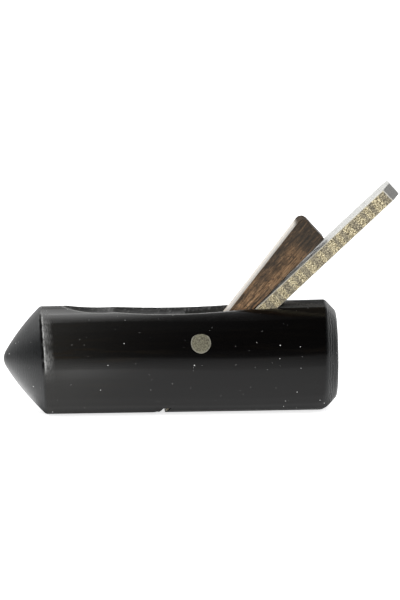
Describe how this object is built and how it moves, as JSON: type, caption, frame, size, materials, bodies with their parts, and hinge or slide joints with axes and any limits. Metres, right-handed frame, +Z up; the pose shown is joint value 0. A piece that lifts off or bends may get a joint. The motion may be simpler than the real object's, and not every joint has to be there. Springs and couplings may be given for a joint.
{
  "type": "hand plane",
  "caption": "Small round-bodied hand plane with a bullet nose, a gouged finger hollow, a bevel-up iron, a wooden wedge and a riveted cross pin.",
  "frame": {"origin": "on the flat of the sole, in the middle of its width, 42.8 mm behind the nose tip", "axes": "+X along the sole from the nose to the heel, +Z up from the sole, Y = 0 is the middle plane"},
  "size_m": [0.0939, 0.0264, 0.0538],
  "materials": {
    "stock": "polished near-black ebony with fine brown streaks",
    "wedge": "worn brown hardwood with dark streaks, oil-darkened towards the top",
    "iron": "smooth grey face and pitted, rust-mottled sides",
    "cross_pin": "riveted, filed flush and dulled"
  },
  "bodies": {
    "stock": {"stock": "stock", "cross_pin": "cross_pin"},
    "iron": {"iron": "iron"},
    "wedge": {"wedge": "wedge"}
  },
  "joints": [
    {"name": "iron_slide", "type": "slide", "parent": "stock", "child": "iron", "axis": [0.7379, 0, 0.6749], "range_m": [-0.0003, 0.04]},
    {"name": "wedge_slide", "type": "slide", "parent": "stock", "child": "wedge", "axis": [0.7379, 0, 0.6749], "range_m": [0, 0.03]}
  ]
}
